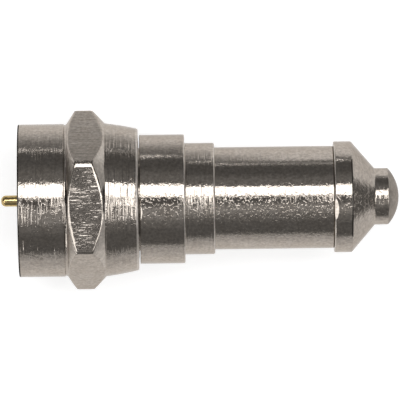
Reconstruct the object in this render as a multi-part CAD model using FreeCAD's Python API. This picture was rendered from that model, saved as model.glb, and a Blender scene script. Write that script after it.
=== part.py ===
import FreeCAD, Part
import math
import os

# A coaxial terminator with a swivelling coupling nut, lying on one flat of its hexagon.
# Millimetres. The common axis is X, and the mating port comes from the -X side. X = 0 is the
# ground face, where a mated port stops, and +X runs to the nub. +Z points up.

# Coupling nut, turned from hexagon bar. Its thread clears the post's flange and comes out as a
# 3/8-32, 9.525 mm wide. The wall over the thread leaves 11 mm across the flats, for a spanner.
flange_clearance = 0.21
thread_height = 0.4025
flat_wall = 0.7375
skirt_wall = 0.60
nut_reach = 5.60
bar_corner_radius = 0.30
skirt_length = 3.22
skirt_edge = 0.10
relief_width = 0.16
relief_depth = 0.06
hexagon_root_step = 0.02
hexagon_crest_length = 1.11
hexagon_front_angle = 57.0
hexagon_rear_angle = 47.0
tail_flare = 0.42
tail_wall = 0.66
tail_overhang = 0.66
tail_crown = 0.035
tail_edge = 0.08

# Inside of the nut: where the thread stops short of the ground face, and the lip behind the flange
thread_runout = 0.40
mouth_chamfer = 0.29
lip_thickness = 1.20
nut_bore_edge = 0.05

# Clearances that let the nut swivel
end_play = 0.05
running_clearance = 0.08
tail_gap = 0.09

# Ground post, pressed into the body
post_bore_radius = 2.40
post_wall = 0.85
post_flange_height = 0.90
post_flange_thickness = 0.90
post_length = 5.60
post_lip_height = 0.35
post_lip_length = 0.35
post_edge = 0.10

# Body
nose_wall = 0.37
collar_height = 0.91
collar_length = 3.15
step_wall = 0.665
step_length = 2.10
nose_edge = 0.08
collar_front_edge = 0.06
collar_rear_edge = 0.12
step_edge = 0.18
step_fillet = 0.08

# Seal ring on the body's nose
ring_height = 0.58
ring_edge = 0.12
ring_side_gap = 0.075
ring_clearance = 0.10

# Barrel
barrel_shoulder = 0.34
barrel_length = 8.33
spigot_wall = 0.65
barrel_edge = 0.08

# End cap
flange_step = 0.31
flange_thickness = 1.25
flange_edge = 0.15
cone_angle = 49.5
nub_radius = 1.985
nub_length = 0.925
dome_radius = 2.95
plug_length = 1.75
plug_edge = 0.15
lead_hole_radius = 0.45
lead_hole_depth = 4.20

# Centre pin. Its nose bends in at a share of the nose's length, by a share of the nose's drop.
pin_radius = 0.39
pin_reach = 6.83
pin_nose_length = 0.34
pin_nose_radius = 0.20
pin_bend_place = 0.40
pin_bend_drop = 0.25
pin_root_radius = 0.60
pin_collar_radius = 0.95
pin_collar_thickness = 0.60
pin_collar_place = 2.60
pin_cup_radius = 0.75
pin_cup_overhang = 0.50
pin_cup_bore_radius = 0.45
pin_cup_depth = 1.60

# Beads that carry the pin
bead_recess = 0.12
bead_flange_thickness = 0.50

# Resistor, and the bare lead left in front of it and behind it
lead_radius = 0.30
lead_inset = 0.12
front_lead_gap = 0.75
rear_lead_gap = 1.08
cup_radius = 1.02
cup_wall = 0.18
cup_length = 1.15
coat_wall = 0.18
coat_end_wall = 0.10
coat_round = 0.32
coat_taper = 0.50

# Solder
solder_foot_radius = 0.62
solder_climb = 0.35

# Marks of use: a flat knocked on the flange's front edge, a scratch beside it, a ding on the body
flat_angle = -7.0
flat_depth = 0.155
flat_width = 0.375
scratch_start_angle = 8.2
scratch_end_angle = 2.7
scratch_start = 0.19
scratch_end = 0.48
scratch_radius = 0.08
scratch_height = 0.03
ding_angle = -6.1
ding_depth = 0.022
ding_width = 0.17

# Radii that follow from the post's bore
post_lip_radius = post_bore_radius - post_lip_height
post_shank_radius = post_bore_radius + post_wall
post_flange_radius = post_shank_radius + post_flange_height
pocket_radius = post_flange_radius + flange_clearance
thread_radius = pocket_radius + thread_height
skirt_radius = thread_radius + skirt_wall
hexagon_root_radius = skirt_radius + hexagon_root_step
nut_flats = 2 * (thread_radius + flat_wall)
crest_radius = nut_flats / math.sqrt(3)
barrel_bore_radius = post_shank_radius - spigot_wall
barrel_radius = post_shank_radius + barrel_shoulder
flange_radius = barrel_radius + flange_step
step_radius = post_shank_radius + step_wall
nose_radius = post_shank_radius + nose_wall
collar_radius = nose_radius + collar_height
ring_radius = nose_radius + ring_height
tail_bore_radius = ring_radius + ring_clearance
tail_end_radius = tail_bore_radius + tail_wall
tail_root_radius = tail_end_radius + tail_flare
core_radius = cup_radius - cup_wall
bend_radius = pin_radius - (pin_radius - pin_nose_radius) * pin_bend_drop

# Places along the axis that follow
lip_front_x = post_flange_thickness + end_play
lip_rear_x = lip_front_x + lip_thickness
nose_x = lip_rear_x + end_play
mouth_x = -nut_reach
relief_x = mouth_x + skirt_length
relief_end_x = relief_x + relief_width
hexagon_x = relief_end_x + relief_depth
crest_x = hexagon_x + (crest_radius - hexagon_root_radius) / math.tan(math.radians(hexagon_front_angle))
crest_end_x = crest_x + hexagon_crest_length
tail_x = crest_end_x + (crest_radius - tail_root_radius) / math.tan(math.radians(hexagon_rear_angle))
tail_end_x = lip_rear_x + tail_overhang
collar_x = tail_end_x + tail_gap
step_x = collar_x + collar_length
body_end_x = step_x + step_length
flange_x = body_end_x + barrel_length
flange_end_x = flange_x + flange_thickness
nub_x = flange_end_x + (flange_radius - nub_radius) / math.tan(math.radians(cone_angle))
dome_x = nub_x + nub_length
dome_rise = dome_radius - math.sqrt(dome_radius ** 2 - nub_radius ** 2)
plug_x = flange_x - plug_length
hole_floor_x = plug_x + lead_hole_depth
bend_x = -pin_reach + pin_nose_length * pin_bend_place
collar_rear_x = pin_collar_place + pin_collar_thickness
bead_end_x = post_length + bead_flange_thickness
cup_end_x = bead_end_x + pin_cup_overhang
cup_floor_x = cup_end_x - pin_cup_depth
coat_x = cup_end_x + front_lead_gap
coat_end_x = plug_x - rear_lead_gap
cup_front_x = coat_x + coat_end_wall
cup_rear_x = coat_end_x - coat_end_wall

axis_origin = FreeCAD.Vector(0, 0, 0)
axis_way = FreeCAD.Vector(1, 0, 0)


def at(x, radius):
    return FreeCAD.Vector(x, 0, radius)


def turned(*outline):
    # Turns a closed outline of (x, radius) corners about the axis. A third value breaks that corner
    # by so much. ("by", x, radius) is a point that the arc between its two neighbours passes through.
    places = [at(*entry[-2:]) if entry[0] == "by" else at(*entry[:2]) for entry in outline]
    path = []
    for i, entry in enumerate(outline):
        if entry[0] == "by":
            path.append(("by", places[i]))
        elif len(entry) == 3 and entry[2] > 0:
            for neighbour in (places[i - 1], places[(i + 1) % len(places)]):
                way = (neighbour - places[i]).normalize()
                path.append(("to", places[i] + way * entry[2]))
        else:
            path.append(("to", places[i]))
    edges = []
    for i, (kind, place) in enumerate(path):
        following, beyond = path[(i + 1) % len(path)], path[(i + 2) % len(path)]
        if kind == "by":
            continue
        if following[0] == "by":
            edges.append(Part.Arc(place, following[1], beyond[1]).toShape())
        else:
            edges.append(Part.makeLine(place, following[1]))
    face = Part.Face(Part.Wire(edges))
    return face.revolve(axis_origin, axis_way, 360)


def hexagon_bar(start_x, end_x):
    # Two of its flats face up and down, and its long corners are rounded as drawn bar is.
    corners = []
    for i in range(7):
        angle = math.radians(60 * i)
        corners.append(
            FreeCAD.Vector(start_x, crest_radius * math.cos(angle), crest_radius * math.sin(angle))
        )
    face = Part.Face(Part.makePolygon(corners))
    bar = face.extrude(FreeCAD.Vector(end_x - start_x, 0, 0))
    long_edges = [edge for edge in bar.Edges if abs(edge.tangentAt(edge.FirstParameter).x) > 0.9]
    return bar.makeFillet(bar_corner_radius, long_edges)


def about_axis(shape, degrees):
    shape.rotate(axis_origin, axis_way, degrees)
    return shape


def edge_flat(x, radius, depth, width, degrees):
    # A wedge that takes a flat off the -X edge of a disc whose face is at x.
    slope = math.atan2(depth, width)
    along = at(math.cos(slope), math.sin(slope))
    outwards = at(-math.sin(slope), math.cos(slope))
    low = at(x, radius - depth) - along * width
    high = at(x + width, radius) + along * width
    wedge = Part.Face(Part.makePolygon([low, high, high + outwards * width, low + outwards * width, low]))
    half = math.sqrt(radius ** 2 - (radius - depth) ** 2) + width
    wedge.translate(FreeCAD.Vector(0, -half, 0))
    return about_axis(wedge.extrude(FreeCAD.Vector(0, 2 * half, 0)), -degrees)


def surface_point(x, radius, degrees):
    angle = math.radians(degrees)
    return FreeCAD.Vector(x, radius * math.sin(angle), radius * math.cos(angle))


def coupling_nut():
    crown_x = (tail_x + tail_end_x) / 2
    crown_radius = (tail_root_radius + tail_end_radius) / 2 + tail_crown
    outside = turned(
        (mouth_x, 0),
        (mouth_x, skirt_radius, skirt_edge),
        (relief_x, skirt_radius),
        (relief_x, skirt_radius - relief_depth),
        (relief_end_x, skirt_radius - relief_depth),
        (hexagon_x, hexagon_root_radius),
        (crest_x, crest_radius),
        (crest_end_x, crest_radius),
        (tail_x, tail_root_radius),
        ("by", crown_x, crown_radius),
        (tail_end_x - tail_edge, tail_end_radius),
        (tail_end_x, tail_end_radius - tail_edge),
        (tail_end_x, 0),
    )
    bore_radius = post_shank_radius + running_clearance
    inside = turned(
        (mouth_x, 0),
        (mouth_x, thread_radius + mouth_chamfer),
        (mouth_x + mouth_chamfer, thread_radius),
        (-thread_runout, thread_radius),
        (thread_height - thread_runout, pocket_radius),
        (lip_front_x, pocket_radius, nut_bore_edge),
        (lip_front_x, bore_radius),
        (lip_rear_x, bore_radius),
        (lip_rear_x, tail_bore_radius, nut_bore_edge),
        (tail_end_x, tail_bore_radius),
        (tail_end_x, 0),
    )
    return outside.common(hexagon_bar(mouth_x, tail_end_x)).cut(inside)


def ground_post():
    return turned(
        (0, post_lip_radius),
        (0, post_flange_radius, post_edge),
        (post_flange_thickness, post_flange_radius, post_edge),
        (post_flange_thickness, post_shank_radius),
        (post_length, post_shank_radius, post_edge),
        (post_length, post_bore_radius),
        (post_lip_length, post_bore_radius),
        (post_lip_length, post_lip_radius),
    )


def body():
    shape = turned(
        (nose_x, post_shank_radius),
        (nose_x, nose_radius, nose_edge),
        (collar_x, nose_radius),
        (collar_x, collar_radius, collar_front_edge),
        (step_x, collar_radius, collar_rear_edge),
        (step_x, step_radius, step_fillet),
        (body_end_x, step_radius, step_edge),
        (body_end_x, post_shank_radius),
    )
    return shape.cut(edge_flat(collar_x, collar_radius, ding_depth, ding_width, ding_angle))


def seal_ring():
    return turned(
        (lip_rear_x + ring_side_gap, nose_radius),
        (lip_rear_x + ring_side_gap, ring_radius, ring_edge),
        (collar_x - ring_side_gap, ring_radius, ring_edge),
        (collar_x - ring_side_gap, nose_radius),
    )


def barrel():
    return turned(
        (bead_end_x, barrel_bore_radius),
        (bead_end_x, post_shank_radius),
        (body_end_x, post_shank_radius),
        (body_end_x, barrel_radius),
        (flange_x, barrel_radius, barrel_edge),
        (flange_x, barrel_bore_radius),
    )


def end_cap():
    mid_angle = math.asin(nub_radius / dome_radius) / 2
    dome_centre_x = dome_x + dome_rise - dome_radius
    shape = turned(
        (plug_x, lead_hole_radius),
        (plug_x, barrel_bore_radius, plug_edge),
        (flange_x, barrel_bore_radius),
        (flange_x, flange_radius, flange_edge),
        (flange_end_x, flange_radius),
        (nub_x, nub_radius),
        (dome_x, nub_radius),
        ("by", dome_centre_x + dome_radius * math.cos(mid_angle), dome_radius * math.sin(mid_angle)),
        (dome_x + dome_rise, 0),
        (hole_floor_x, 0),
        (hole_floor_x, lead_hole_radius),
    )
    flat = edge_flat(flange_x, flange_radius, flat_depth, flat_width, flat_angle)
    start = surface_point(flange_x + scratch_start, flange_radius + scratch_height, scratch_start_angle)
    end = surface_point(flange_x + scratch_end, flange_radius + scratch_height, scratch_end_angle)
    scratch = Part.makeCylinder(scratch_radius, (end - start).Length, start, end - start)
    return shape.cut(flat).cut(scratch)


def centre_pin():
    return turned(
        (-pin_reach, 0),
        (-pin_reach, pin_nose_radius),
        ("by", bend_x, bend_radius),
        (-pin_reach + pin_nose_length, pin_radius),
        (bead_recess, pin_radius),
        (bead_recess, pin_root_radius),
        (pin_collar_place, pin_root_radius),
        (pin_collar_place, pin_collar_radius),
        (collar_rear_x, pin_collar_radius),
        (collar_rear_x, pin_cup_radius),
        (cup_end_x, pin_cup_radius),
        (cup_end_x, pin_cup_bore_radius),
        (cup_floor_x, pin_cup_bore_radius),
        (cup_floor_x, 0),
    )


def front_bead():
    return turned(
        (bead_recess, pin_root_radius),
        (bead_recess, post_lip_radius),
        (post_lip_length, post_lip_radius),
        (post_lip_length, post_bore_radius),
        (pin_collar_place, post_bore_radius),
        (pin_collar_place, pin_root_radius),
    )


def rear_bead():
    # Its own flange is clamped between the post and the barrel.
    return turned(
        (pin_collar_place, pin_collar_radius),
        (pin_collar_place, post_bore_radius),
        (post_length, post_bore_radius),
        (post_length, post_shank_radius),
        (bead_end_x, post_shank_radius),
        (bead_end_x, pin_cup_radius),
        (collar_rear_x, pin_cup_radius),
        (collar_rear_x, pin_collar_radius),
    )


def resistor_core():
    return turned(
        (cup_front_x + cup_wall, 0),
        (cup_front_x + cup_wall, core_radius),
        (cup_rear_x - cup_wall, core_radius),
        (cup_rear_x - cup_wall, 0),
    )


def resistor_cup(outer_x, inwards):
    # inwards is 1 for the cup at the front and -1 for the cup at the rear.
    floor_x = outer_x + inwards * cup_wall
    rim_x = outer_x + inwards * cup_length
    return turned(
        (outer_x, 0),
        (outer_x, cup_radius),
        (rim_x, cup_radius),
        (rim_x, core_radius),
        (floor_x, core_radius),
        (floor_x, 0),
    )


def resistor_coat():
    # It follows the cups and the bare rod between them, so it is thinner at its waist.
    end_radius = cup_radius + coat_wall
    waist_radius = core_radius + coat_wall
    shoulder = coat_end_wall + cup_length
    return turned(
        (coat_x, lead_radius),
        (coat_x, end_radius, coat_round),
        (coat_x + shoulder, end_radius),
        (coat_x + shoulder + coat_taper, waist_radius),
        (coat_end_x - shoulder - coat_taper, waist_radius),
        (coat_end_x - shoulder, end_radius),
        (coat_end_x, end_radius, coat_round),
        (coat_end_x, lead_radius),
        (cup_rear_x, lead_radius),
        (cup_rear_x, cup_radius),
        (cup_rear_x - cup_length, cup_radius),
        (cup_rear_x - cup_length, core_radius),
        (cup_front_x + cup_length, core_radius),
        (cup_front_x + cup_length, cup_radius),
        (cup_front_x, cup_radius),
        (cup_front_x, lead_radius),
    )


def lead(start_x, end_x):
    return Part.makeCylinder(lead_radius, end_x - start_x, at(start_x, 0), axis_way)


def solder(floor_x, rim_x, hole_radius, outwards):
    # Fills a blind hole round a lead and climbs the lead outside it. outwards is 1 towards +X.
    lead_end_x = floor_x + outwards * lead_inset
    top_x = rim_x + outwards * solder_climb
    return turned(
        (floor_x, 0),
        (floor_x, hole_radius),
        (rim_x, hole_radius),
        (rim_x, solder_foot_radius),
        (top_x, lead_radius),
        (lead_end_x, lead_radius),
        (lead_end_x, 0),
    )


pieces = {
    "coupling_nut": coupling_nut(),
    "ground_post": ground_post(),
    "body": body(),
    "seal_ring": seal_ring(),
    "barrel": barrel(),
    "end_cap": end_cap(),
    "centre_pin": centre_pin(),
    "front_bead": front_bead(),
    "rear_bead": rear_bead(),
    "resistor_core": resistor_core(),
    "resistor_cup_front": resistor_cup(cup_front_x, 1),
    "resistor_cup_rear": resistor_cup(cup_rear_x, -1),
    "resistor_coat": resistor_coat(),
    "lead_front": lead(cup_floor_x + lead_inset, cup_front_x),
    "lead_rear": lead(cup_rear_x, hole_floor_x - lead_inset),
    "solder_front": solder(cup_floor_x, cup_end_x, pin_cup_bore_radius, 1),
    "solder_rear": solder(hole_floor_x, plug_x, lead_hole_radius, -1),
}

os.makedirs("parts", exist_ok=True)
for name, shape in pieces.items():
    if not shape.isValid() or len(shape.Solids) != 1:
        raise ValueError(name + " isn't one sound solid")
    shape.Solids[0].exportStep("parts/" + name + ".step")
    box = shape.BoundBox
    print(name, round(shape.Volume, 3), "mm3, x", round(box.XMin, 3), "to", round(box.XMax, 3))
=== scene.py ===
import math

import bpy
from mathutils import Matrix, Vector


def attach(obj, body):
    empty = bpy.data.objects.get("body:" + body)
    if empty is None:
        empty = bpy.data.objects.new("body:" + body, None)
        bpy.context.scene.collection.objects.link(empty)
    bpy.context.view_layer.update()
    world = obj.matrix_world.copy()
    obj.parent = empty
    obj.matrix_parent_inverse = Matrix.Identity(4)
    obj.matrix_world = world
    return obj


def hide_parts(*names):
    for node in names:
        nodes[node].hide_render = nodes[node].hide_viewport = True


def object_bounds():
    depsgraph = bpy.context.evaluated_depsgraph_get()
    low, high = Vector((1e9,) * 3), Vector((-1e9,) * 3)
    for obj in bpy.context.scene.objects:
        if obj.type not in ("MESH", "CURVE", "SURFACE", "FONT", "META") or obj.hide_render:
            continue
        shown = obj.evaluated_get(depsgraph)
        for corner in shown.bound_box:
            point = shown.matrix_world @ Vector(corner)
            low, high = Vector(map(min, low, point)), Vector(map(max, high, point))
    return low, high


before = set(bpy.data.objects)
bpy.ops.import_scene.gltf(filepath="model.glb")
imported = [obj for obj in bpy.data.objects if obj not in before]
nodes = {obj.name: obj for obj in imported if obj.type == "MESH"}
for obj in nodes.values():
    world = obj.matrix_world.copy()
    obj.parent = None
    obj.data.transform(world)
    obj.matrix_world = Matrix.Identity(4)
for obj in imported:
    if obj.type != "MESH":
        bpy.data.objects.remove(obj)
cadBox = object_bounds()
mm = 0.001
print("frame loaded,", len(nodes), "nodes")

# the camera hangs over the part and looks down on it, as the photo does
cameraView = {
    "distance": 400 * mm,
    "lens": 513.0,
    "sensor": 36.0,
    "targetX": 7.12 * mm,
    "targetDrop": 0.10 * mm,   # how far below the axis the picture's middle lies
    "tip": 5.86,               # degrees that it leans from straight above towards +Y
    "yaw": 0.44,               # degrees towards the port
    "roll": 0.745,             # degrees that the axis climbs to the right
    "nearest": 0.01,
    "farthest": 20,
}


def makeCamera(view):
    tip, yaw, roll = (math.radians(view[name]) for name in ("tip", "yaw", "roll"))
    along = Vector((1, 0, 0))
    up = Vector((0, math.cos(tip), -math.sin(tip)))
    back = Vector((0, math.sin(tip), math.cos(tip)))
    target = along * view["targetX"] - up * view["targetDrop"]
    back, along = (back * math.cos(yaw) - along * math.sin(yaw),
                   along * math.cos(yaw) + back * math.sin(yaw))
    right = along * math.cos(roll) - up * math.sin(roll)
    up = along * math.sin(roll) + up * math.cos(roll)
    data = bpy.data.cameras.new("camera")
    data.lens = view["lens"]
    data.sensor_width = view["sensor"]
    data.clip_start = view["nearest"]
    data.clip_end = view["farthest"]
    camera = bpy.data.objects.new("camera", data)
    bpy.context.collection.objects.link(camera)
    turn = camera.matrix_world.to_3x3()
    for i, axis in enumerate((right, up, back)):
        for k in range(3):
            turn[k][i] = axis[k]
    camera.matrix_world = turn.to_4x4()
    camera.location = target + back * view["distance"]
    bpy.context.scene.camera = camera


makeCamera(cameraView)
print("camera placed")

# studio: a white sheet on a grey bench, whose paleness as the metal sees it is a painted pool of light that
# fades away from the part, a dim room that pales towards the horizon, and long soft boxes overhead
studio = {
    "floorSize": 6.0,
    "floorZ": cadBox[0].z,
    "benchColour": (0.17, 0.17, 0.17),
    "sheetColour": (0.62, 0.62, 0.62),
    "sheetLift": 0.555,        # how much the sheet adds to its own lit colour
    # how much of the sheet the metal sees, at places in millimetres; these levels fade like a painted pool of
    # light
    "sheetPoolX": [(-60, 0), (-40, 1), (53, 1), (62, 0)],
    "sheetPoolY": [(-70, 0.60), (-33, 0.64), (-20, 0.80), (-13, 0.94), (-6, 1), (11, 1), (20, 0.50), (30, 0.28),
               (48, 0.13)],
    "capSheetPoolY": [(-70, 0.60), (-33, 0.64), (-20, 0.80), (-13, 0.94), (-6, 1), (11, 1), (30, 0.85), (52, 0.55),
                  (75, 0.1)],
    "capSheetPoolX": [(9, 0), (15, 1)],    # from here on the sheet's painted pool of light reaches further back, behind the cap
    # the room's level from straight below the horizon up to straight overhead
    "roomRamp": [(0.0, 0.80), (0.045, 0.66), (0.075, 0.32), (0.14, 0.195), (0.25, 0.158), (0.55, 0.158),
                 (0.68, 0.20), (0.80, 0.27), (0.90, 0.30), (0.97, 0.24), (1.0, 0.16)],
    "roomLean": 0.30,          # the pale horizon stands higher on the -Y side
}

# long boxes along X, with angles in degrees from straight above, and places and sizes in metres
softBoxes = {
    "keyStrip": {"from": 10.6, "to": 31.0, "side": 1, "along": 0, "distance": 0.6, "length": 0.9,
                 "radiance": 4.2},
    "keyWing": {"from": -3.0, "to": 10.6, "side": 1, "along": 0.27, "distance": 0.6, "length": 0.26,
                "radiance": 3.6},
    "fillStrip": {"from": 8.0, "to": 30.0, "side": -1, "along": 0, "distance": 0.62, "length": 0.9,
                  "radiance": 0.19},
    "fillLow": {"from": 30.0, "to": 47.0, "side": -1, "along": 0, "distance": 0.64, "length": 0.9,
                "radiance": 0.095},
    "horizonStrip": {"from": 88.2, "to": 89.2, "side": 1, "along": -0.218, "distance": 0.62, "length": 0.46,
                     "radiance": 3.5},
    "fillSide": {"from": 47.0, "to": 72.0, "side": -1, "along": 0, "distance": 0.66, "length": 0.9,
                 "radiance": 0.035},
    "glintLeft": {"from": 1.0, "to": 31.0, "side": -1, "along": -0.8, "distance": 0.5, "length": 1.2,
                  "radiance": 2.4},
    "glintRight": {"from": 1.0, "to": 28.0, "side": -1, "along": 0.84, "distance": 0.5, "length": 1.2,
                   "radiance": 2.4},
}

# boxes that stand low past the two ends and light the edges that face along X, with angles above the bench
endBoxes = {
    "lowPort": {"from": 0.5, "to": 14.0, "side": -1, "swing": 40, "distance": 0.60, "width": 0.5,
                "radiance": 2.2},
    "lowCap": {"from": 4.0, "to": 22.0, "side": 1, "swing": 0, "distance": 0.60, "width": 0.7,
               "radiance": 0.5},
}


def addNode(tree, kind, **values):
    node = tree.nodes.new(kind)
    for name, value in values.items():
        if hasattr(node, name):
            setattr(node, name, value)
        else:
            node.inputs[name].default_value = value
    return node


def mathNode(tree, operation, first, second=None):
    node = addNode(tree, "ShaderNodeMath", operation=operation)
    for socket, value in zip(node.inputs, (first, second)):
        if value is None:
            continue
        if isinstance(value, (int, float)):
            socket.default_value = value
        else:
            tree.links.new(value, socket)
    return node.outputs[0]


def spread(tree, value, low, high, toLow=0, toHigh=1):
    node = addNode(tree, "ShaderNodeMapRange")
    for name, level in (("From Min", low), ("From Max", high), ("To Min", toLow), ("To Max", toHigh)):
        node.inputs[name].default_value = level
    tree.links.new(value, node.inputs["Value"])
    return node.outputs[0]


def levelAlong(tree, value, stops):
    # levels at places in millimetres, with straight lines between them
    first, last = stops[0][0], stops[-1][0]
    ramp = addNode(tree, "ShaderNodeValToRGB")
    marks = ramp.color_ramp.elements
    while len(marks) > 1:
        marks.remove(marks[0])
    for i, (x, level) in enumerate(stops):
        mark = marks[0] if i == 0 else marks.new((x - first) / (last - first))
        mark.position = (x - first) / (last - first)
        mark.color = (level, level, level, 1)
    tree.links.new(spread(tree, value, first * mm, last * mm), ramp.inputs[0])
    return ramp.outputs[0]


def makeFloor():
    bpy.ops.mesh.primitive_plane_add(size=studio["floorSize"], location=(0, 0, studio["floorZ"]))
    floor = bpy.context.object
    floor.name = "floor"
    material = bpy.data.materials.new("floorPaper")
    material.use_nodes = True
    tree = material.node_tree
    tree.nodes.clear()
    output = addNode(tree, "ShaderNodeOutputMaterial")
    paper = tree.nodes.new("ShaderNodeBsdfDiffuse")
    glow = addNode(tree, "ShaderNodeEmission")
    both = addNode(tree, "ShaderNodeAddShader")
    light = addNode(tree, "ShaderNodeLightPath")
    seen = mathNode(tree, "MAXIMUM", light.outputs["Is Camera Ray"], light.outputs["Is Glossy Ray"])
    seen = mathNode(tree, "MAXIMUM", seen, light.outputs["Is Transmission Ray"])
    # in the metal the sheet fades into the bench as a painted pool of light, past the picture's edge; the
    # camera sees all of it as sheet
    where = addNode(tree, "ShaderNodeTexCoord")
    split = addNode(tree, "ShaderNodeSeparateXYZ")
    tree.links.new(where.outputs["Object"], split.inputs[0])
    across = addNode(tree, "ShaderNodeMix", data_type="RGBA")
    tree.links.new(levelAlong(tree, split.outputs["X"], studio["capSheetPoolX"]), across.inputs[0])
    tree.links.new(levelAlong(tree, split.outputs["Y"], studio["sheetPoolY"]), across.inputs[6])
    tree.links.new(levelAlong(tree, split.outputs["Y"], studio["capSheetPoolY"]), across.inputs[7])
    sheetPool = levelAlong(tree, split.outputs["X"], studio["sheetPoolX"])
    sheetPool = mathNode(tree, "MULTIPLY", sheetPool, across.outputs[2])
    sheetPool = mathNode(tree, "MAXIMUM", sheetPool, light.outputs["Is Camera Ray"])
    tone = addNode(tree, "ShaderNodeMix", data_type="RGBA")
    tone.inputs[6].default_value = (*studio["benchColour"], 1)
    tone.inputs[7].default_value = (*studio["sheetColour"], 1)
    tree.links.new(sheetPool, tone.inputs[0])
    tree.links.new(tone.outputs[2], paper.inputs["Color"])
    lift = mathNode(tree, "MULTIPLY", sheetPool, studio["sheetLift"])
    tree.links.new(mathNode(tree, "MULTIPLY", seen, lift), glow.inputs["Strength"])
    tree.links.new(paper.outputs[0], both.inputs[0])
    tree.links.new(glow.outputs[0], both.inputs[1])
    tree.links.new(both.outputs[0], output.inputs["Surface"])
    floor.data.materials.append(material)


def makeRoom():
    world = bpy.data.worlds.new("room")
    bpy.context.scene.world = world
    world.use_nodes = True
    tree = world.node_tree
    tree.nodes.clear()
    output = tree.nodes.new("ShaderNodeOutputWorld")
    sky = tree.nodes.new("ShaderNodeBackground")
    where = tree.nodes.new("ShaderNodeTexCoord")
    split = tree.nodes.new("ShaderNodeSeparateXYZ")
    ramp = tree.nodes.new("ShaderNodeValToRGB")
    stops = ramp.color_ramp.elements
    while len(stops) > 1:
        stops.remove(stops[0])
    for i, (place, level) in enumerate(studio["roomRamp"]):
        stop = stops[0] if i == 0 else stops.new(place)
        stop.position = place
        stop.color = (level, level, level, 1)
    tree.links.new(where.outputs["Generated"], split.inputs[0])
    lean = mathNode(tree, "ADD", mathNode(tree, "MULTIPLY", split.outputs["Y"], studio["roomLean"]), 1)
    tree.links.new(mathNode(tree, "MULTIPLY", split.outputs["Z"], lean), ramp.inputs[0])
    tree.links.new(ramp.outputs[0], sky.inputs["Color"])
    tree.links.new(sky.outputs[0], output.inputs["Surface"])


def makeLamp(name, box, length, place, turn):
    half = math.radians((box["to"] - box["from"]) / 2)
    data = bpy.data.lights.new(name, "AREA")
    data.shape = "RECTANGLE"
    data.size = length
    data.size_y = 2 * box["distance"] * math.tan(half)
    data.energy = box["radiance"] * math.pi * data.size * data.size_y   # a one-sided lamp of that radiance
    lamp = bpy.data.objects.new(name, data)
    bpy.context.collection.objects.link(lamp)
    lamp.location = place + Vector((cameraView["targetX"], 0, 0))
    lamp.rotation_euler = turn


def makeSoftBox(name, box):
    # a strip along X, facing the part, between two angles from straight above
    middle = math.radians((box["from"] + box["to"]) / 2) * box["side"]
    away = Vector((0, math.sin(middle), math.cos(middle))) * box["distance"]
    makeLamp(name, box, box["length"], away + Vector((box["along"], 0, 0)), (-middle, 0, 0))


def makeEndBox(name, box):
    # across X or swung towards -Y, between two angles above the bench
    middle, swing = math.radians((box["from"] + box["to"]) / 2), math.radians(box["swing"])
    level = Vector((box["side"] * math.cos(swing), -math.sin(swing), 0)) * math.cos(middle)
    away = (level + Vector((0, 0, math.sin(middle)))) * box["distance"]
    makeLamp(name, box, box["width"], away, away.to_track_quat("Z", "Y").to_euler())


makeFloor()
makeRoom()
for name, box in softBoxes.items():
    makeSoftBox(name, box)
for name, box in endBoxes.items():
    makeEndBox(name, box)
bpy.context.scene.view_settings.view_transform = "Standard"
print("studio lit")


# every piece is modelled in millimetres, then brought to metres when it is finished
finish = {
    "sides": 256,            # round pieces
    "roundSteps": 4,         # faces across a broken edge
    "mergeGap": 0.0002,
    "poleRadius": 0.00005,
    "smoothAngle": 32,
    "scratchSides": 16,
    "sameFacing": 0.99995,   # the least cosine between a knocked flat and its faces
    "knockedSlot": 1,        # the knocked flats' finish comes right after the piece's own
}


def deselectAll():
    bpy.ops.object.select_all(action="DESELECT")


def workOn(piece):
    deselectAll()
    piece.select_set(True)
    bpy.context.view_layer.objects.active = piece


def roundCorners(corners):
    # a third value breaks that corner by so much
    path = []
    for i, corner in enumerate(corners):
        here = Vector(corner[:2])
        if len(corner) < 3:
            path.append(here)
            continue
        before, after = Vector(corners[i - 1][:2]), Vector(corners[(i + 1) % len(corners)][:2])
        start = here + (before - here).normalized() * corner[2]
        end = here + (after - here).normalized() * corner[2]
        for step in range(finish["roundSteps"] + 1):
            t = step / finish["roundSteps"]
            path.append(start * (1 - t) ** 2 + here * 2 * t * (1 - t) + end * t ** 2)
    return [(x, max(radius, finish["poleRadius"])) for x, radius in path]


def turnPiece(name, corners, closed=True, sides=None):
    # a ring is extruded along the outline of (x, radius) corners, as a lathe would leave it
    path = roundCorners(corners)
    if closed:
        path.append(path[0])
    deselectAll()
    x, radius = path[0]
    bpy.ops.mesh.primitive_circle_add(vertices=sides or finish["sides"], radius=radius, location=(x, 0, 0),
                                      rotation=(0, math.pi / 2, 0))
    piece = bpy.context.object
    piece.name = piece.data.name = name
    bpy.ops.object.transform_apply(location=True, rotation=True, scale=True)
    bpy.ops.object.mode_set(mode="EDIT")
    bpy.ops.mesh.select_all(action="SELECT")
    for nextX, nextRadius in path[1:]:
        bpy.ops.mesh.extrude_region_move(TRANSFORM_OT_translate={"value": (nextX - x, 0, 0)})
        grow = nextRadius / radius
        bpy.ops.transform.resize(value=(1, grow, grow), center_override=(nextX, 0, 0))
        x, radius = nextX, nextRadius
    bpy.ops.mesh.select_all(action="SELECT")
    bpy.ops.mesh.remove_doubles(threshold=finish["mergeGap"])
    bpy.ops.mesh.normals_make_consistent(inside=False)
    bpy.ops.object.mode_set(mode="OBJECT")
    return piece


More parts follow.
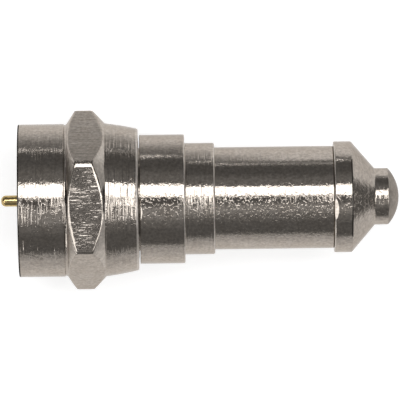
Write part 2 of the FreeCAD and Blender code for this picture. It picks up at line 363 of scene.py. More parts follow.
def selectEdges(piece, wanted, withNormals=False):
    # leaves the piece in edit mode with the edges that the test wants
    if bpy.context.mode != "OBJECT":
        bpy.ops.object.mode_set(mode="OBJECT")
    workOn(piece)
    mesh = piece.data
    sides = {}
    for face in mesh.polygons:
        for key in face.edge_keys:
            sides.setdefault(key, []).append(face.normal.copy())
    bpy.ops.object.mode_set(mode="EDIT")
    bpy.ops.mesh.select_mode(type="EDGE")
    bpy.ops.mesh.select_all(action="DESELECT")
    bpy.ops.object.mode_set(mode="OBJECT")
    for edge in mesh.edges:
        start, end = (mesh.vertices[k].co for k in edge.vertices)
        pair = sides.get(edge.key, [])
        if len(pair) == 2:
            given = [(start + end) / 2, (end - start).normalized(), pair[0].angle(pair[1], 0)]
            edge.select = wanted(*given, *pair) if withNormals else wanted(*given)
    bpy.ops.object.mode_set(mode="EDIT")


def cutWith(piece, tool, operation="DIFFERENCE"):
    workOn(piece)
    cut = piece.modifiers.new("cut", "BOOLEAN")
    cut.object = tool
    cut.operation = operation
    cut.solver = "EXACT"
    bpy.ops.object.modifier_apply(modifier="cut")
    bpy.data.objects.remove(tool)


def aroundAxis(degrees):
    # away from straight above, towards -Y
    angle = math.radians(degrees)
    return Vector((0, -math.sin(angle), math.cos(angle)))


def knockFlat(piece, x, radius, depth, width, degrees):
    # a small flat on the -X edge of a disc whose face is at x, cut by a cube larger than the flat
    away = aroundAxis(degrees)
    slope = math.atan2(depth, width)
    facing = away * math.cos(slope) - Vector((math.sin(slope), 0, 0))
    middle = Vector((x + width / 2, 0, 0)) + away * (radius - depth / 2)
    size = 4 * radius * width
    deselectAll()
    bpy.ops.mesh.primitive_cube_add(size=size, location=middle + facing * size / 2,
                                    rotation=facing.to_track_quat("Z", "X").to_euler())
    cutWith(piece, bpy.context.object)
    for face in piece.data.polygons:
        if face.normal.dot(facing) > finish["sameFacing"]:
            face.material_index = finish["knockedSlot"]


def scratchAcross(piece, start, end, radius):
    # each end is (x, radius, degrees)
    ends = [Vector((x, 0, 0)) + aroundAxis(degrees) * far for x, far, degrees in (start, end)]
    deselectAll()
    way = ends[1] - ends[0]
    bpy.ops.mesh.primitive_cylinder_add(vertices=finish["scratchSides"], radius=radius, depth=way.length,
                                        location=(ends[0] + ends[1]) / 2,
                                        rotation=way.to_track_quat("Z", "X").to_euler())
    cutWith(piece, bpy.context.object)


def toMetres(piece):
    workOn(piece)
    bpy.ops.object.shade_smooth_by_angle(angle=math.radians(finish["smoothAngle"]))
    for face in piece.data.polygons:
        if face.material_index == finish["knockedSlot"]:
            face.use_smooth = False   # a knocked flat shows its edges
    bpy.ops.transform.resize(value=(mm, mm, mm), center_override=(0, 0, 0))
    bpy.ops.object.transform_apply(location=True, rotation=True, scale=True)
    deselectAll()


def hangOn(piece, body, slot, *replaced):
    toMetres(piece)
    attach(piece, body)
    if replaced:
        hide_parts(*replaced)
    print(piece.name, "made,", len(piece.data.polygons), "faces")


# coupling nut: turned outside and inside, then its six flats are milled
nut = {
    "mouthX": -5.60, "skirtRadius": 5.3625, "skirtEdge": 0.10, "skirtRearEdge": 0.05,
    "reliefX": -2.38, "reliefSlope": 0.04, "reliefEndX": -2.275, "reliefRadius": 5.3025, "reliefFillet": 0.03,
    "hexagonX": -2.16, "hexagonRoot": 5.3825, "hexagonFillet": 0.02, "acrossFlats": 11.0,
    "barSpare": 1,             # how far the six-sided bar stands past the nut's two ends
    "cornerRound": 0.31, "cornerSteps": 8,
    "rolledTilt": 14.0, "rolledWidth": 0.31,   # the corner of the top flat that is rolled down
    "crestX": -1.5311, "crestEndX": -0.4211,
    "tailX": 0.4842, "tailRoot": 5.38, "tailFillet": 0.10, "tailEndX": 2.81, "tailEnd": 4.96,
    "tailCrown": 0.035, "tailSteps": 8, "tailEdge": 0.17, "tailBore": 4.30, "tailBoreEdge": 0.04,
    "lipRearX": 2.15, "lipFrontX": 0.95, "lipBore": 3.33, "lipEdge": 0.05, "pocketRadius": 4.36,
    "threadRadius": 4.7625, "threadEndX": -0.40, "mouthChamfer": 0.29, "mouthEdge": 0.03,
    # each flat's curved edges are worn within so many degrees of its middle, more towards one end
    "edgeWear": 0.17, "leastWear": 0.5, "wearSpan": 24, "wearLean": 0.25, "cornerWear": 0.3, "wearSteps": 3,
    # a scratch on the tail, from (x, radius, degrees) to the same
    "scratchStart": (2.22, 5.13, -20.2), "scratchEnd": (2.46, 5.07, -23.4), "scratchRadius": 0.07,
}


def crownPoints(part):
    # the tail swells a little between its two ends
    points = []
    for i in range(1, part["tailSteps"]):
        t = i / part["tailSteps"]
        radius = part["tailRoot"] * (1 - t) + part["tailEnd"] * t + part["tailCrown"] * 4 * t * (1 - t)
        points.append((part["tailX"] * (1 - t) + part["tailEndX"] * t, radius))
    return points


def makeNut(part):
    crest = part["acrossFlats"] / math.sqrt(3)
    piece = turnPiece("nutMetal", [
        (part["mouthX"], part["skirtRadius"], part["skirtEdge"]),
        (part["reliefX"], part["skirtRadius"], part["skirtRearEdge"]),
        (part["reliefX"] + part["reliefSlope"], part["reliefRadius"], part["reliefFillet"]),
        (part["reliefEndX"], part["reliefRadius"], part["hexagonFillet"]),
        (part["hexagonX"], part["hexagonRoot"], part["hexagonFillet"]),
        (part["crestX"], crest),
        (part["crestEndX"], crest),
        (part["tailX"], part["tailRoot"], part["tailFillet"]),
        *crownPoints(part),
        (part["tailEndX"], part["tailEnd"], part["tailEdge"]),
        (part["tailEndX"], part["tailBore"], part["tailBoreEdge"]),
        (part["lipRearX"], part["tailBore"], part["lipEdge"]),
        (part["lipRearX"], part["lipBore"], part["lipEdge"]),
        (part["lipFrontX"], part["lipBore"], part["lipEdge"]),
        (part["lipFrontX"], part["pocketRadius"], part["lipEdge"]),
        (part["threadEndX"] + part["threadRadius"] - part["pocketRadius"], part["pocketRadius"]),
        (part["threadEndX"], part["threadRadius"]),
        (part["mouthX"] + part["mouthChamfer"], part["threadRadius"], part["mouthEdge"]),
        (part["mouthX"], part["threadRadius"] + part["mouthChamfer"], part["mouthEdge"]),
    ])
    deselectAll()
    length = part["tailEndX"] - part["mouthX"] + 2 * part["barSpare"]
    middle = (part["tailEndX"] + part["mouthX"]) / 2
    bpy.ops.mesh.primitive_cylinder_add(vertices=6, radius=crest, depth=length, location=(middle, 0, 0),
                                        rotation=(0, math.pi / 2, 0))
    bar = bpy.context.object
    bpy.ops.object.transform_apply(location=True, rotation=True, scale=True)
    bpy.ops.object.mode_set(mode="EDIT")
    # the flat on top is rolled down along its corner on the +Y side
    tilt = math.radians(part["rolledTilt"])
    bpy.ops.mesh.select_all(action="SELECT")
    bpy.ops.mesh.bisect(plane_co=(0, crest / 2 - part["rolledWidth"], part["acrossFlats"] / 2),
                        plane_no=(0, math.sin(tilt), math.cos(tilt)), use_fill=True, clear_outer=True)
    selectEdges(bar, lambda middle, way, turn: abs(way.x) > 0.9 and turn > math.radians(30))
    bpy.ops.mesh.bevel(offset=part["cornerRound"] * math.tan(math.radians(30)), segments=part["cornerSteps"],
                       affect="EDGES")
    bpy.ops.object.mode_set(mode="OBJECT")
    cutWith(piece, bar, "INTERSECT")
    wearEdges(piece, part)
    return piece


def wearEdges(piece, part):
    # the curved edges where the flats run out in the chamfers, worn most at opposite ends of each flat
    def runsOut(middle, way, turn, first, second):
        between = part["hexagonX"] < middle.x < part["tailX"]
        onHexagon = between and middle.yz.length > part["hexagonRoot"] + 0.01
        return onHexagon and (abs(first.x) < 0.01) != (abs(second.x) < 0.01)
    selectEdges(piece, runsOut, withNormals=True)
    bpy.ops.object.mode_set(mode="OBJECT")
    mesh = piece.data
    weights = mesh.attributes.new("bevel_weight_edge", "FLOAT", "EDGE")
    for edge, weight in zip(mesh.edges, weights.data):
        if not edge.select:
            continue
        middle = (mesh.vertices[edge.vertices[0]].co + mesh.vertices[edge.vertices[1]].co) / 2
        # how many degrees round from the middle of its flat the edge lies, up to 30 each way
        turned = (math.degrees(math.atan2(-middle.y, middle.z)) + 30) % 60 - 30
        end = turned / part["wearSpan"] * (1 if middle.x < (part["crestX"] + part["crestEndX"]) / 2 else -1)
        share = min(max(end + part["wearLean"], 0), 1)
        if abs(turned) >= part["wearSpan"]:
            share = part["cornerWear"]
        weight.value = part["leastWear"] + (1 - part["leastWear"]) * share
    workOn(piece)
    bevel = piece.modifiers.new("wear", "BEVEL")
    bevel.limit_method = "WEIGHT"
    bevel.width = part["edgeWear"]
    bevel.segments = part["wearSteps"]
    bevel.use_clamp_overlap = False
    bpy.ops.object.modifier_apply(modifier="wear")


nutMetal = makeNut(nut)
scratchAcross(nutMetal, nut["scratchStart"], nut["scratchEnd"], nut["scratchRadius"])
hangOn(nutMetal, "nut", "nut_plating", "coupling_nut")

# body: a collar and a step behind the nut, with a ding in the collar's front edge
body = {
    "noseX": 2.20, "bore": 3.25, "nose": 3.62, "collarX": 2.90, "collar": 4.53, "stepX": 6.05, "step": 3.915,
    "endX": 8.15, "noseEdge": 0.08, "collarFrontEdge": 0.06, "collarRearEdge": 0.12, "stepEdge": 0.18,
    "stepFillet": 0.08, "dingDepth": 0.040, "dingWidth": 0.18, "dingDegrees": 6.1,
}


def makeBody(part):
    return turnPiece("bodyMetal", [
        (part["noseX"], part["bore"]),
        (part["noseX"], part["nose"], part["noseEdge"]),
        (part["collarX"], part["nose"]),
        (part["collarX"], part["collar"], part["collarFrontEdge"]),
        (part["stepX"], part["collar"], part["collarRearEdge"]),
        (part["stepX"], part["step"], part["stepFillet"]),
        (part["endX"], part["step"], part["stepEdge"]),
        (part["endX"], part["bore"]),
    ])


bodyMetal = makeBody(body)
knockFlat(bodyMetal, body["collarX"], body["collar"], body["dingDepth"], body["dingWidth"],
          body["dingDegrees"])
hangOn(bodyMetal, "terminator", "body_plating", "body")

# barrel: a long smooth sleeve with a spigot inside the body
barrel = {
    "frontX": 6.10, "bore": 2.60, "spigot": 3.25, "spigotEdge": 0.05, "bodyEndX": 8.15, "radius": 3.59,
    "endX": 16.48, "edge": 0.08,
}


def makeBarrel(part):
    return turnPiece("barrelMetal", [
        (part["frontX"], part["bore"], part["spigotEdge"]),
        (part["frontX"], part["spigot"], part["spigotEdge"]),
        (part["bodyEndX"], part["spigot"]),
        (part["bodyEndX"], part["radius"]),
        (part["endX"], part["radius"], part["edge"]),
        (part["endX"], part["bore"]),
    ])


barrelMetal = makeBarrel(barrel)
hangOn(barrelMetal, "terminator", "barrel_plating", "barrel")

# end cap: flange, cone, nub and dome, with a plug and a blind hole for the resistor's wire
cap = {
    "plugX": 14.73, "plug": 2.60, "plugEdge": 0.15, "flangeX": 16.48, "flange": 3.90, "flangeEdge": 0.15,
    "flangeEndX": 17.73, "coneEdge": 0.06, "nubX": 19.3656, "nub": 1.985, "nubFillet": 0.06,
    "nubEndX": 20.2906, "nubEdge": 0.06, "domeRadius": 2.95, "domeSteps": 16, "hole": 0.45, "holeEdge": 0.04,
    "holeFloorX": 18.93,
    # a flat knocked on the flange's front edge, and a scratch beside it that starts and ends so far
    # behind the edge, at so many degrees
    "knockDepth": 0.115, "knockWidth": 0.275, "knockDegrees": 7.0,
    "scratchStart": (0.10, -8.0), "scratchEnd": (0.40, -2.6), "scratchAbove": 0.03, "scratchRadius": 0.08,
    "paintedDarkEdgeY": (-2.5, 2.9),   # the part of the flange's rear edge, on the side that faces up, that is painted dark as a painted dark reflection
}


def makeCap(part):
    edge = math.asin(part["nub"] / part["domeRadius"])
    centreX = part["nubEndX"] - part["domeRadius"] * math.cos(edge)
    dome = []
    for i in range(1, part["domeSteps"] + 1):
        angle = edge * (1 - i / part["domeSteps"])
        dome.append((centreX + part["domeRadius"] * math.cos(angle), part["domeRadius"] * math.sin(angle)))
    return turnPiece("capMetal", [
        (part["holeFloorX"], 0),
        (part["holeFloorX"], part["hole"]),
        (part["plugX"], part["hole"], part["holeEdge"]),
        (part["plugX"], part["plug"], part["plugEdge"]),
        (part["flangeX"], part["plug"]),
        (part["flangeX"], part["flange"], part["flangeEdge"]),
        (part["flangeEndX"], part["flange"], part["coneEdge"]),
        (part["nubX"], part["nub"], part["nubFillet"]),
        (part["nubEndX"], part["nub"], part["nubEdge"]),
        *dome,
    ], closed=False)


capMetal = makeCap(cap)
scratchEnds = [(cap["flangeX"] + behind, cap["flange"] + cap["scratchAbove"], degrees)
               for behind, degrees in (cap["scratchStart"], cap["scratchEnd"])]
scratchAcross(capMetal, *scratchEnds, cap["scratchRadius"])
knockFlat(capMetal, cap["flangeX"], cap["flange"], cap["knockDepth"], cap["knockWidth"], cap["knockDegrees"])
hangOn(capMetal, "terminator", "cap_plating", "end_cap")

# ground post, whose flange and face show inside the nut
post = {
    "lipBore": 2.05, "lipX": 0.35, "lipEdge": 0.04, "bore": 2.40, "flange": 4.15, "flangeX": 0.90,
    "shank": 3.25, "endX": 5.60, "edge": 0.10,
}


def makePost(part):
    return turnPiece("postMetal", [
        (0, part["lipBore"], part["lipEdge"]),
        (0, part["flange"], part["edge"]),
        (part["flangeX"], part["flange"], part["edge"]),
        (part["flangeX"], part["shank"]),
        (part["endX"], part["shank"], part["edge"]),
        (part["endX"], part["bore"]),
        (part["lipX"], part["bore"]),
        (part["lipX"], part["lipBore"]),
    ])


postMetal = makePost(post)
hangOn(postMetal, "terminator", "post_plating", "ground_post")

# centre pin, gold plated, with a cup for the resistor's wire
pin = {
    "tipX": -6.83, "noseLength": 0.34, "noseSteps": 8, "noseFullness": 0.8, "radius": 0.39, "root": 0.60,
    "rootX": 0.12, "collarX": 2.60, "collar": 0.95, "collarEndX": 3.20, "cup": 0.75, "cupEndX": 6.60,
    "cupBore": 0.45, "cupFloorX": 5.00, "edge": 0.03, "cupEdge": 0.05, "sides": 96,
}


def makePin(part):
    nose = []
    for i in range(part["noseSteps"] + 1):
        angle = math.radians(90 * i / part["noseSteps"])
        radius = part["radius"] * math.sin(angle) ** part["noseFullness"]
        nose.append((part["tipX"] + part["noseLength"] * (1 - math.cos(angle)), radius))
    return turnPiece("pinMetal", [
        *nose,
        (part["rootX"], part["radius"]),
        (part["rootX"], part["root"], part["edge"]),
        (part["collarX"], part["root"]),
        (part["collarX"], part["collar"], part["edge"]),
        (part["collarEndX"], part["collar"], part["edge"]),
        (part["collarEndX"], part["cup"]),
        (part["cupEndX"], part["cup"], part["cupEdge"]),
        (part["cupEndX"], part["cupBore"], part["cupEdge"]),
        (part["cupFloorX"], part["cupBore"]),
        (part["cupFloorX"], 0),
    ], closed=False, sides=part["sides"])


pinMetal = makePin(pin)
hangOn(pinMetal, "terminator", "pin_gold", "centre_pin")

# front bead: moulded plastic, flush behind the post's lip
bead = {
    "faceX": 0.12, "bore": 0.60, "lipX": 0.35, "front": 2.05, "frontEdge": 0.05, "radius": 2.40, "endX": 2.60,
    "sides": 160,
}


def makeBead(part):
    return turnPiece("beadPlastic", [
        (part["faceX"], part["bore"]),
        (part["faceX"], part["front"], part["frontEdge"]),
        (part["lipX"], part["front"]),
        (part["lipX"], part["radius"]),
        (part["endX"], part["radius"]),
        (part["endX"], part["bore"]),
    ], sides=part["sides"])


beadPlastic = makeBead(bead)
hangOn(beadPlastic, "terminator", "bead_plastic", "front_bead")

# thread: a helical ridge wound inside the nut's bore
thread = {
    "pitch": 0.794, "turns": 6, "startX": -5.32, "bore": 4.7625, "crest": 4.36, "crestWidth": 0.17,
    "rootShare": 0.47,   # half of the ridge's foot, as a share of the pitch
    "sink": 0.02, "edge": 0.03, "edgeSteps": 2, "steps": 128,
}


def makeThread(part):
    deselectAll()
    halfRoot = part["pitch"] * part["rootShare"]
    halfCrest = part["crestWidth"] / 2
    bpy.ops.mesh.primitive_plane_add(size=1)
    piece = bpy.context.object
    piece.name = piece.data.name = "nutThread"
    corners = [(-halfRoot, part["bore"] + part["sink"]), (halfRoot, part["bore"] + part["sink"]),
               (halfCrest, part["crest"]), (-halfCrest, part["crest"])]
    order = piece.data.polygons[0].vertices[:]
    for index, (x, radius) in zip(order, corners):
        piece.data.vertices[index].co = (part["startX"] + halfRoot + x, 0, radius)
    bpy.ops.object.mode_set(mode="EDIT")
    bpy.ops.mesh.select_all(action="SELECT")
    bpy.ops.mesh.bevel(offset=part["edge"], segments=part["edgeSteps"], affect="VERTICES")
    bpy.ops.mesh.delete(type="ONLY_FACE")
    bpy.ops.object.mode_set(mode="OBJECT")
    wind = piece.modifiers.new("wind", "SCREW")
    wind.axis = "X"
    wind.screw_offset = part["pitch"]
    wind.iterations = part["turns"]
    wind.steps = wind.render_steps = part["steps"]
    wind.use_merge_vertices = False
    bpy.ops.object.modifier_apply(modifier="wind")
    bpy.ops.object.mode_set(mode="EDIT")
    bpy.ops.mesh.select_all(action="DESELECT")
    bpy.ops.mesh.select_non_manifold(extend=False)
    bpy.ops.mesh.edge_face_add()
    bpy.ops.mesh.select_all(action="SELECT")
    bpy.ops.mesh.normals_make_consistent(inside=False)
    bpy.ops.object.mode_set(mode="OBJECT")
    return piece


nutThread = makeThread(thread)
hangOn(nutThread, "nut", "nut_plating")


def newMaterial(name):
    material = bpy.data.materials.new(name)
    material.use_nodes = True
    tree = material.node_tree
    where = addNode(tree, "ShaderNodeTexCoord").outputs["Object"]
    return material, tree, tree.nodes["Principled BSDF"], where


# how the noise in the finishes is spread; the shifts keep its layers from matching each other
noise = {
    "roughness": 0.58, "patchRange": (0.35, 0.7), "leastPatch": 0.35, "nickRange": 0.08,
    "cloudRange": (0.3, 0.7), "plasticSpread": 0.12,
    "shifts": {"marks": 3, "patches": 11, "skin": 7, "nicks": 19, "clouds": 0, "speckles": 23,
               "plasticSkin": 5},
}


def grain(tree, where, perMm, detail, kind):
    # perMm is how many bumps there are to the millimetre, along X, Y and Z or all alike
    scale = perMm if isinstance(perMm, tuple) else (perMm,) * 3
    place = addNode(tree, "ShaderNodeMapping")
    place.inputs["Scale"].default_value = [value / mm for value in scale]
    place.inputs["Location"].default_value = (noise["shifts"][kind],) * 3
    bumps = addNode(tree, "ShaderNodeTexNoise", Scale=1, Detail=detail, Roughness=noise["roughness"])
    tree.links.new(where, place.inputs["Vector"])
    tree.links.new(place.outputs[0], bumps.inputs["Vector"])
    return bumps.outputs[0]


def levelsIn(tree, where, axis, stops):
    split = addNode(tree, "ShaderNodeSeparateXYZ")
    tree.links.new(where, split.inputs[0])
    return levelAlong(tree, split.outputs[axis], stops)


def mixColours(tree, share, first, second):
    mix = addNode(tree, "ShaderNodeMix", data_type="RGBA")
    mix.inputs[6].default_value = (*first, 1)
    mix.inputs[7].default_value = (*second, 1)
    tree.links.new(share, mix.inputs[0])
    return mix.outputs[2]


def timesColour(tree, colour, level):
    scale = addNode(tree, "ShaderNodeVectorMath", operation="SCALE")
    tree.links.new(colour, scale.inputs[0])
    tree.links.new(level, scale.inputs["Scale"])
    return scale.outputs[0]


def bumpFrom(tree, shader, height):
    # the height is in millimetres
    bump = addNode(tree, "ShaderNodeBump", Strength=1, Distance=mm)
    tree.links.new(height, bump.inputs["Height"])
    tree.links.new(bump.outputs[0], shader.inputs["Normal"])


def metalFinish(name, look):
    material, tree, shader, where = newMaterial(name)
    # marks of turning or milling in patches, the plating's grain, and small nicks
    marks = mathNode(tree, "SUBTRACT", grain(tree, where, look["marks"], look["markDetail"], "marks"), 0.5)
    marks = mathNode(tree, "MULTIPLY", marks, look["markDepth"])
    if "markAlong" in look:
        marks = mathNode(tree, "MULTIPLY", marks, levelsIn(tree, where, "X", look["markAlong"]))
    patches = grain(tree, where, look["patches"], 2, "patches")
    patches = spread(tree, patches, *noise["patchRange"], noise["leastPatch"], 1)
    marks = mathNode(tree, "MULTIPLY", marks, patches)
    skin = mathNode(tree, "MULTIPLY", grain(tree, where, look["skin"], 2, "skin"), look["skinDepth"])
    nicks = grain(tree, where, look["nicks"], 1, "nicks")
    nicks = spread(tree, nicks, look["nickFrom"], look["nickFrom"] + noise["nickRange"])
    nicks = mathNode(tree, "MULTIPLY", nicks, look["nickDepth"])
    nicks = mathNode(tree, "MULTIPLY", nicks, levelsIn(tree, where, "Y", look["nickAcross"]))
    bumpFrom(tree, shader, mathNode(tree, "SUBTRACT", mathNode(tree, "ADD", marks, skin), nicks))
    # duller in clouds, and a little speckled all over
    cloud = spread(tree, grain(tree, where, look["clouds"], 5, "clouds"), *noise["cloudRange"])
    speckle = grain(tree, where, look["speckles"], 2, "speckles")
    speckle = spread(tree, speckle, *noise["cloudRange"], 1 - look["speckle"], 1 + look["speckle"])
    tone = timesColour(tree, mixColours(tree, cloud, look["colour"], look["dullColour"]), speckle)
    rough = spread(tree, cloud, 0, 1, look["roughness"], look["roughness"] + look["roughSpread"])
    if "satinAlong" in look:
        satin = levelsIn(tree, where, "X", look["satinAlong"])
        tone = timesColour(tree, tone, spread(tree, satin, 0, 1, 1, look["satinTone"]))
        satin = mathNode(tree, "MULTIPLY", mathNode(tree, "POWER", satin, 2), look["satinRoughness"])
        rough = mathNode(tree, "ADD", rough, satin)
    if "paintedShadeAlong" in look:
        # painted shade: a dark reflection painted in the corners beside the hexagon, on the side that faces up
        paintedShade = levelsIn(tree, where, "X", look["paintedShadeAlong"])
        paintedShade = mathNode(tree, "MULTIPLY", paintedShade, levelsIn(tree, where, "Y", look["paintedShadeAcross"]))
        paintedShade = mathNode(tree, "MULTIPLY", paintedShade, levelsIn(tree, where, "Z", look["paintedShadeUp"]))
        tone = timesColour(tree, tone, spread(tree, paintedShade, 0, 1, 1, look["paintedShadeTone"]))
    tree.links.new(tone, shader.inputs["Base Color"])
    tree.links.new(rough, shader.inputs["Roughness"])
    shader.inputs["Metallic"].default_value = 1
    shader.inputs["Specular Tint"].default_value = (*look["specularTint"], 1)
    return material


def dullFinish(name, look):
    # plastic, rubber, ceramic and lacquer
    material, tree, shader, where = newMaterial(name)
    cloud = spread(tree, grain(tree, where, look["clouds"], 4, "clouds"), *noise["cloudRange"])
    rough = spread(tree, cloud, 0, 1, look["roughness"], look["roughness"] + noise["plasticSpread"])
    tree.links.new(mixColours(tree, cloud, look["colour"], look["dullColour"]), shader.inputs["Base Color"])
    tree.links.new(rough, shader.inputs["Roughness"])
    skin = mathNode(tree, "MULTIPLY", grain(tree, where, look["skin"], 3, "plasticSkin"), look["skinDepth"])
    bumpFrom(tree, shader, skin)
    for socket, level in look.get("shader", {}).items():
        shader.inputs[socket].default_value = level
    return material


# scales are in bumps to the millimetre, depths in millimetres, and what has Along, Across or Up in its
# name gives levels at places along X, Y or Z in millimetres
nickelLook = {
    "colour": (0.385, 0.348, 0.312), "dullColour": (0.345, 0.306, 0.268), "specularTint": (0.72, 0.69, 0.66),
    "roughness": 0.07, "roughSpread": 0.05,
    "marks": (6, 0.25, 0.25), "markDetail": 2, "markDepth": 0.11, "patches": 0.8,
    "skin": 5, "skinDepth": 0.008, "nicks": 5.5, "nickFrom": 0.60, "nickDepth": 0.008,
    # most nicks are on the side that faces up
    "nickAcross": [(-4.5, 0.12), (-1.9, 0.25), (-1.2, 0.6), (-0.7, 1), (0.55, 1), (1.0, 0.1), (4.5, 0.1)],
    "clouds": 1.1, "speckles": 5, "speckle": 0.19,
}
# painted shade in the hexagon's root corners, only where they face up
cornerPaintedShade = {
    "paintedShadeAlong": [(-2.30, 0), (-2.24, 1), (-2.10, 1), (-2.05, 0), (0.28, 0), (0.34, 1), (0.47, 1), (0.54, 0)],
    "paintedShadeAcross": [(-0.7, 0), (-0.2, 1), (1.2, 1), (1.7, 0)], "paintedShadeUp": [(0, 0), (1, 1), (6, 1)],
    "paintedShadeTone": 0.12,
}
nutLook = {
    **nickelLook, **cornerPaintedShade,
    "markAlong": [(-5.60, 0.9), (-2.40, 0.9), (-2.20, 0.3), (0.45, 0.3), (0.50, 1), (1.5, 0.9), (2.81, 0.5)],
}
flatLook = {
    **nickelLook, "marks": (0.5, 6, 6), "markDetail": 3, "markDepth": 0.024, "skin": 4, "skinDepth": 0.008,
    "nickDepth": 0,
}
wornLook = {
    **flatLook, "dullColour": (0.33, 0.295, 0.262), "markDepth": 0.050, "skin": 5, "skinDepth": 0.022,
}
satinLook = {
    **nickelLook, **cornerPaintedShade, "colour": (0.47, 0.43, 0.39), "dullColour": (0.40, 0.36, 0.32),
    "roughness": 0.27, "markDepth": 0.01, "skin": 7, "skinDepth": 0.012,
}
bodyLook = {
    **nickelLook, "nickFrom": 0.575, "markAlong": [(2.20, 0.2), (6.00, 0.2), (6.10, 0.85), (8.15, 0.85)],
}
barrelLook = {**nickelLook, "markDepth": 0.02, "skinDepth": 0.009, "nickFrom": 0.555, "nickDepth": 0.011}
capLook = {
    **nickelLook, "markDepth": 0.045,
    "markAlong": [(14.7, 0.4), (17.7, 0.4), (17.8, 0.25), (19.3, 0.25), (19.4, 1), (20.3, 1), (20.4, 0.2),
                  (21.1, 0.2)],
    "satinAlong": [(14.7, 0), (17.7, 0), (17.8, 0.35), (19.3, 0.35), (19.4, 0), (20.25, 0), (20.33, 1),
                   (21.1, 1)],
    "satinTone": 0.62, "satinRoughness": 0.28,
}
goldLook = {
    **nickelLook, "colour": (0.56, 0.43, 0.21), "dullColour": (0.40, 0.30, 0.14),
    "specularTint": (0.9, 0.8, 0.6), "roughness": 0.13, "markDepth": 0.012, "skinDepth": 0.003,
    "nickDepth": 0.004,
}
burnishLook = {**nickelLook, "markDepth": 0, "skinDepth": 0.002, "nickDepth": 0}
rubbedLook = {
    **nickelLook, "colour": (0.56, 0.52, 0.48), "dullColour": (0.46, 0.42, 0.38), "roughness": 0.36,
    "markDepth": 0.01,
}
# near black: a painted dark reflection on the edges it is given to
paintedDarkEdgeLook = {
    **nickelLook, "colour": (0.085, 0.078, 0.070), "dullColour": (0.06, 0.055, 0.05),
    "specularTint": (0.12, 0.11, 0.10), "roughness": 0.2, "markDepth": 0.01, "nickDepth": 0.002,
}
steelLook = {
    **nickelLook, "colour": (0.50, 0.49, 0.47), "dullColour": (0.43, 0.42, 0.40), "roughness": 0.24,
    "markDepth": 0.01,
}
tinLook = {
    **nickelLook, "colour": (0.62, 0.61, 0.58), "dullColour": (0.50, 0.49, 0.46), "roughness": 0.30,
    "marks": (3, 3, 3), "markDepth": 0.004,
}
solderLook = {
    **tinLook, "colour": (0.55, 0.54, 0.52), "roughness": 0.22, "marks": (2, 2, 2), "markDepth": 0.02,
}
plasticLook = {
    "colour": (0.80, 0.79, 0.74), "dullColour": (0.74, 0.72, 0.66), "roughness": 0.34, "clouds": 0.9,
    "skin": 7, "skinDepth": 0.003,
    "shader": {"Subsurface Weight": 0.25, "Subsurface Radius": (0.9, 0.8, 0.7), "Subsurface Scale": 0.4 * mm},
}
rubberLook = {
    "colour": (0.022, 0.021, 0.020), "dullColour": (0.04, 0.038, 0.036), "roughness": 0.55, "clouds": 1.5,
    "skin": 10, "skinDepth": 0.006,
}
ceramicLook = {
    "colour": (0.70, 0.66, 0.58), "dullColour": (0.60, 0.56, 0.48), "roughness": 0.5, "clouds": 2,
    "skin": 12, "skinDepth": 0.006,
}
lacquerLook = {
    "colour": (0.075, 0.19, 0.34), "dullColour": (0.05, 0.14, 0.27), "roughness": 0.22, "clouds": 1.2,
    "skin": 3, "skinDepth": 0.008, "shader": {"Coat Weight": 0.5, "Coat Roughness": 0.12},
}

# what each piece and each of the CAD's own pieces is finished in; a piece's later finishes are for some of
# its faces, and the burnished one is the first of those, because knockFlat counts on its slot
finishes = {
    "nutNickel": (metalFinish, nutLook, [nutMetal]),
    "threadNickel": (metalFinish, {**nickelLook, "markDepth": 0.02}, [nutThread]),
    "postNickel": (metalFinish, {**nickelLook, "markDepth": 0.03}, [postMetal]),
    "bodyNickel": (metalFinish, bodyLook, [bodyMetal]),
    "barrelNickel": (metalFinish, barrelLook, [barrelMetal]),
    "capNickel": (metalFinish, capLook, [capMetal]),
    "pinGold": (metalFinish, goldLook, [pinMetal]),
    "whitePlastic": (dullFinish, plasticLook, [beadPlastic, "rear_bead"]),
    "blackRubber": (dullFinish, rubberLook, ["seal_ring"]),
    "ceramic": (dullFinish, ceramicLook, ["resistor_core"]),
    "blueLacquer": (dullFinish, lacquerLook, ["resistor_coat"]),
    "steel": (metalFinish, steelLook, ["resistor_cup_front", "resistor_cup_rear"]),
    "tin": (metalFinish, tinLook, ["lead_front", "lead_rear"]),
    "solder": (metalFinish, solderLook, ["solder_front", "solder_rear"]),
    "milledNickel": (metalFinish, flatLook, [nutMetal]),
    "wornNickel": (metalFinish, wornLook, [nutMetal]),
    "satinNickel": (metalFinish, satinLook, [nutMetal]),
    "burnishedNickel": (metalFinish, burnishLook, [bodyMetal, capMetal]),
    "tarnishedNickel": (metalFinish, paintedDarkEdgeLook, [nutMetal, capMetal]),
    "rubbedNickel": (metalFinish, rubbedLook, [nutMetal, bodyMetal, capMetal]),
}
for node in nodes.values():
    node.data.materials.clear()
for name, (make, look, pieces) in finishes.items():
    material = make(name, look)
    for piece in pieces:
        target = nodes[piece] if isinstance(piece, str) else piece
        target.data.materials.append(material)
# a solid that a piece stands in for takes that piece's own finish
replacedBy = {
    "coupling_nut": nutMetal, "ground_post": postMetal, "body": bodyMetal, "barrel": barrelMetal,
    "end_cap": capMetal, "centre_pin": pinMetal, "front_bead": beadPlastic,
}
for name, piece in replacedBy.items():
    nodes[name].data.materials.append(piece.data.materials[0])

# how far along X the normals of each kind of face reach, and how far up those of the top flat do
facingLimits = {"edge": (0.15, 0.97), "flat": 0.01, "chamfer": (0.6, 0.95), "top": 0.9, "rolledWithin": 3}


def giveFinish(piece, name, wanted, smooth=True):
    # for the plain faces that the test wants, which is told each one's middle in millimetres and its normal
    slot = piece.data.materials.find(name)
    for face in piece.data.polygons:
        if face.material_index == 0 and wanted(face.center / mm, face.normal):
            face.material_index = slot
            if not smooth:
                face.use_smooth = False


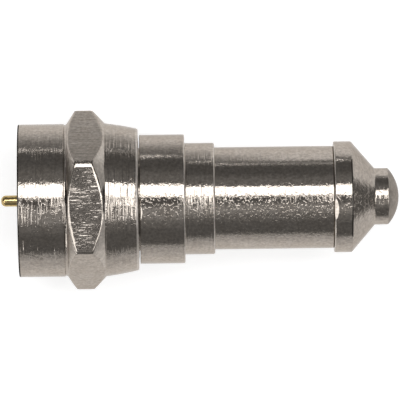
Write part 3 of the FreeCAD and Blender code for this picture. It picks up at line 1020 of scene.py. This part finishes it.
def onEdge(fromX, toX, radius, whole=False):
    # a test for a broken edge between two places along X, outside a radius; whole takes in all its faces
    least, most = facingLimits["edge"]

    def wanted(middle, facing):
        turned = (whole or abs(facing.x) > least) and abs(facing.x) < most
        return turned and fromX < middle.x < toX and middle.yz.length > radius
    return wanted


def onPaintedDarkEdge(middle, facing):
    near, far = cap["paintedDarkEdgeY"]
    edge = onEdge(cap["flangeEndX"] - cap["coneEdge"], cap["flangeEndX"] + cap["coneEdge"],
                  cap["flange"] - cap["coneEdge"], whole=True)
    return edge(middle, facing) and middle.z > 0 and near < middle.y < far


def onFlat(middle, facing):
    # the strip that is rolled down stays smooth
    tilt = math.degrees(math.atan2(facing.y, facing.z))
    rolled = facing.y > 0 and abs(tilt - nut["rolledTilt"]) < facingLimits["rolledWithin"]
    onHexagon = middle.yz.length > nut["hexagonRoot"]
    return onHexagon and abs(facing.x) < facingLimits["flat"] and not rolled


def onTopFlat(middle, facing):
    return onFlat(middle, facing) and facing.z > facingLimits["top"]


def onChamfer(middle, facing):
    least, most = facingLimits["chamfer"]
    onHexagon = nut["hexagonX"] < middle.x < nut["tailX"] and middle.yz.length > nut["hexagonRoot"]
    return onHexagon and least < abs(facing.x) < most


rubbedEdges = [
    (nutMetal, nut["tailEndX"] - nut["tailEdge"], nut["tailEndX"], nut["tailEnd"] - nut["tailEdge"]),
    (bodyMetal, body["stepX"] - body["collarRearEdge"], body["stepX"], body["collar"] - body["collarRearEdge"]),
    (bodyMetal, body["endX"] - body["stepEdge"], body["endX"], body["step"] - body["stepEdge"]),
    (capMetal, cap["flangeX"], cap["flangeX"] + cap["flangeEdge"], cap["flange"] - cap["flangeEdge"]),
]
for piece, fromX, toX, radius in rubbedEdges:
    giveFinish(piece, "rubbedNickel", onEdge(fromX, toX, radius))
# the mouth's front edge is painted dark all round, a painted dark reflection
giveFinish(nutMetal, "tarnishedNickel", onEdge(nut["mouthX"], nut["mouthX"] + nut["skirtEdge"],
                                               nut["skirtRadius"] - nut["skirtEdge"], whole=True))
# so is the flange's rear edge on the side that faces up, a painted dark reflection
giveFinish(capMetal, "tarnishedNickel", onPaintedDarkEdge)
giveFinish(nutMetal, "wornNickel", onTopFlat, smooth=False)
giveFinish(nutMetal, "milledNickel", onFlat, smooth=False)
giveFinish(nutMetal, "satinNickel", onChamfer)
print("finishes given:", len(finishes))
